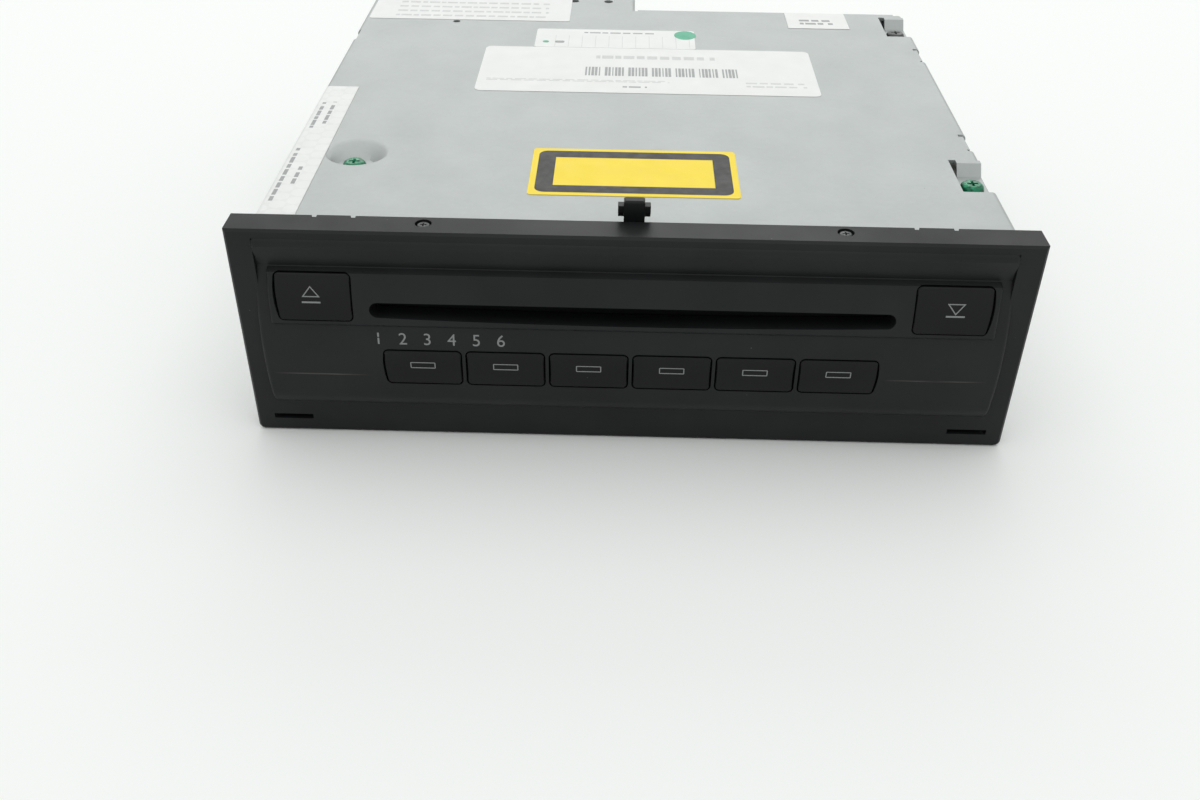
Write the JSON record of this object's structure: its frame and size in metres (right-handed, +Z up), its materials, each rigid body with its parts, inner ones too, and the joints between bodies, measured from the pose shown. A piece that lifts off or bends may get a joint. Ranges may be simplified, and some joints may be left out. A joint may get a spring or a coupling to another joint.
{
  "type": "car disc changer",
  "caption": "Slot-loading car disc changer: black moulded fascia with eject, load and disc keys on a zinc-coated sheet case, with the feed, lift, magazine and player mechanism inside.",
  "frame": {"origin": "under the middle of the whole changer, on the plane that it stands on", "axes": "X to the right seen from the front, Y to the rear, Z up; metres"},
  "size_m": [0.188, 0.1888, 0.062],
  "materials": {
    "fascia_plastic": "fine-grained black moulding",
    "key_plastic": "smooth satin black moulding",
    "catch_plastic": "black moulding, scuffed grey on top",
    "zinc_sheet": "zinc-coated sheet, satin",
    "screw_steel": "zinc-plated steel",
    "black_screw": "blackened steel",
    "pcb": "green solder mask",
    "component_black": "moulded component bodies",
    "led_white": "white lamp bodies",
    "mech_steel": "pressed zinc-coated steel",
    "motor_steel": "plated motor cans",
    "rubber_black": "soft black rubber",
    "gear_white": "natural acetal",
    "tray_black": "black moulded trays",
    "shaft_steel": "ground steel",
    "lens_glass": "coated lens",
    "flat_cable": "white flat cable"
  },
  "bodies": {
    "case": {"fascia": "fascia_plastic", "front_board": "pcb", "tact_switches": "component_black", "leds": "led_white", "board_screws": "screw_steel", "fascia_screws": "black_screw", "lower_chassis": "zinc_sheet", "top_cover": "zinc_sheet", "rear_connector_box": "zinc_sheet", "main_board": "pcb", "rear_connector": "component_black", "ribbon_cable": "flat_cable", "mech_frame": "mech_steel", "dampers": "rubber_black", "roller_bushings": "gear_white", "idler_pin": "shaft_steel", "load_motor": "motor_steel", "disc_guide_upper": "mech_steel", "lift_gear_pin": "shaft_steel", "lift_motor": "motor_steel", "arm_pivot_post": "shaft_steel", "cover_screws_marked": "screw_steel", "cover_screw_plain": "screw_steel"},
    "shutter": {"slot_shutter": "key_plastic"},
    "catch": {"retaining_catch": "catch_plastic"},
    "roller": {"roller_shaft": "shaft_steel", "roller_rubber": "rubber_black", "roller_gear": "gear_white"},
    "idler": {"idler_gear": "gear_white"},
    "feed_pinion": {"load_pinion": "gear_white"},
    "cam": {"cam_slide": "mech_steel"},
    "lift_wheel": {"lift_gear": "gear_white"},
    "lift_drive": {"lift_pinion": "gear_white"},
    "magazine": {"stocker_frame": "mech_steel", "disc_tray_1": "tray_black", "disc_tray_2": "tray_black", "disc_tray_3": "tray_black", "disc_tray_4": "tray_black", "disc_tray_5": "tray_black", "disc_tray_6": "tray_black"},
    "arm": {"traverse_arm": "mech_steel", "guide_rods": "shaft_steel", "sled_motor": "motor_steel", "spindle_motor": "motor_steel"},
    "sled": {"pickup_sled": "component_black", "objective_lens": "lens_glass"},
    "screw": {"lead_screw": "shaft_steel"},
    "table": {"turntable": "tray_black"},
    "disc_button_1_body": {"disc_button_1": "key_plastic"},
    "disc_button_2_body": {"disc_button_2": "key_plastic"},
    "disc_button_3_body": {"disc_button_3": "key_plastic"},
    "disc_button_4_body": {"disc_button_4": "key_plastic"},
    "disc_button_5_body": {"disc_button_5": "key_plastic"},
    "disc_button_6_body": {"disc_button_6": "key_plastic"},
    "eject_button_body": {"eject_button": "key_plastic"},
    "load_button_body": {"load_button": "key_plastic"}
  },
  "joints": [
    {"name": "disc_button_1_press", "type": "slide", "parent": "case", "child": "disc_button_1_body", "axis": [0, 1, 0], "range_m": [0, 0.0008], "stiffness_N_per_m": 250},
    {"name": "disc_button_2_press", "type": "slide", "parent": "case", "child": "disc_button_2_body", "axis": [0, 1, 0], "range_m": [0, 0.0008], "stiffness_N_per_m": 250},
    {"name": "disc_button_3_press", "type": "slide", "parent": "case", "child": "disc_button_3_body", "axis": [0, 1, 0], "range_m": [0, 0.0008], "stiffness_N_per_m": 250},
    {"name": "disc_button_4_press", "type": "slide", "parent": "case", "child": "disc_button_4_body", "axis": [0, 1, 0], "range_m": [0, 0.0008], "stiffness_N_per_m": 250},
    {"name": "disc_button_5_press", "type": "slide", "parent": "case", "child": "disc_button_5_body", "axis": [0, 1, 0], "range_m": [0, 0.0008], "stiffness_N_per_m": 250},
    {"name": "disc_button_6_press", "type": "slide", "parent": "case", "child": "disc_button_6_body", "axis": [0, 1, 0], "range_m": [0, 0.0008], "stiffness_N_per_m": 250},
    {"name": "eject_button_press", "type": "slide", "parent": "case", "child": "eject_button_body", "axis": [0, 1, 0], "range_m": [0, 0.0008], "stiffness_N_per_m": 250},
    {"name": "load_button_press", "type": "slide", "parent": "case", "child": "load_button_body", "axis": [0, 1, 0], "range_m": [0, 0.0008], "stiffness_N_per_m": 250},
    {"name": "shutter_lift", "type": "slide", "parent": "case", "child": "shutter", "axis": [0, 0, 1], "range_m": [0, 0.006]},
    {"name": "catch_press", "type": "slide", "parent": "case", "child": "catch", "axis": [0, 0, -1], "range_m": [0, 0.002], "stiffness_N_per_m": 250},
    {"name": "roller_spin", "type": "hinge", "parent": "case", "child": "roller", "pos_m": [0, -0.07305, 0.0323], "axis": [1, 0, 0], "continuous": true},
    {"name": "idler_spin", "type": "hinge", "parent": "case", "child": "idler", "pos_m": [-0.0834, -0.07305, 0.0179], "axis": [1, 0, 0], "continuous": true},
    {"name": "feed_pinion_spin", "type": "hinge", "parent": "case", "child": "feed_pinion", "pos_m": [-0.0834, -0.06456, 0.00941], "axis": [1, 0, 0], "continuous": true},
    {"name": "cam_travel", "type": "slide", "parent": "case", "child": "cam", "axis": [0, 1, 0], "range_m": [0, 0.027]},
    {"name": "magazine_lift", "type": "slide", "parent": "case", "child": "magazine", "axis": [0, 0, 1], "range_m": [0, 0.0135]},
    {"name": "lift_wheel_spin", "type": "hinge", "parent": "case", "child": "lift_wheel", "pos_m": [0.0813, -0.02705, 0.0476], "axis": [1, 0, 0], "range_deg": [-1, 323.29]},
    {"name": "lift_drive_spin", "type": "hinge", "parent": "case", "child": "lift_drive", "pos_m": [0.0813, -0.03665, 0.0476], "axis": [1, 0, 0], "range_deg": [-323.29, 1]},
    {"name": "arm_swing", "type": "hinge", "parent": "case", "child": "arm", "pos_m": [-0.064, 0.05245, 0.012], "axis": [0, 0, 1], "range_deg": [0, 45]},
    {"name": "sled_travel", "type": "slide", "parent": "arm", "child": "sled", "axis": [-0.0665, 0.9978, 0], "range_m": [0, 0.034]},
    {"name": "screw_spin", "type": "hinge", "parent": "arm", "child": "screw", "pos_m": [-0.06925, 0.00199, 0.0102], "axis": [0.0665, -0.9978, 0], "range_deg": [-1, 4081]},
    {"name": "table_spin", "type": "hinge", "parent": "arm", "child": "table", "pos_m": [-0.05834, -0.0324, 0.02], "axis": [0, 0, 1], "continuous": true}
  ],
  "couplings": [
    {"joint": "idler_spin", "follows": "roller_spin", "ratio": -1},
    {"joint": "feed_pinion_spin", "follows": "roller_spin", "ratio": 1.5},
    {"joint": "magazine_lift", "follows": "cam_travel", "ratio": 0.5},
    {"joint": "lift_wheel_spin", "follows": "cam_travel", "rad_per_m": 208.33},
    {"joint": "lift_drive_spin", "follows": "cam_travel", "rad_per_m": -208.33},
    {"joint": "screw_spin", "follows": "sled_travel", "rad_per_m": 2094.4}
  ]
}
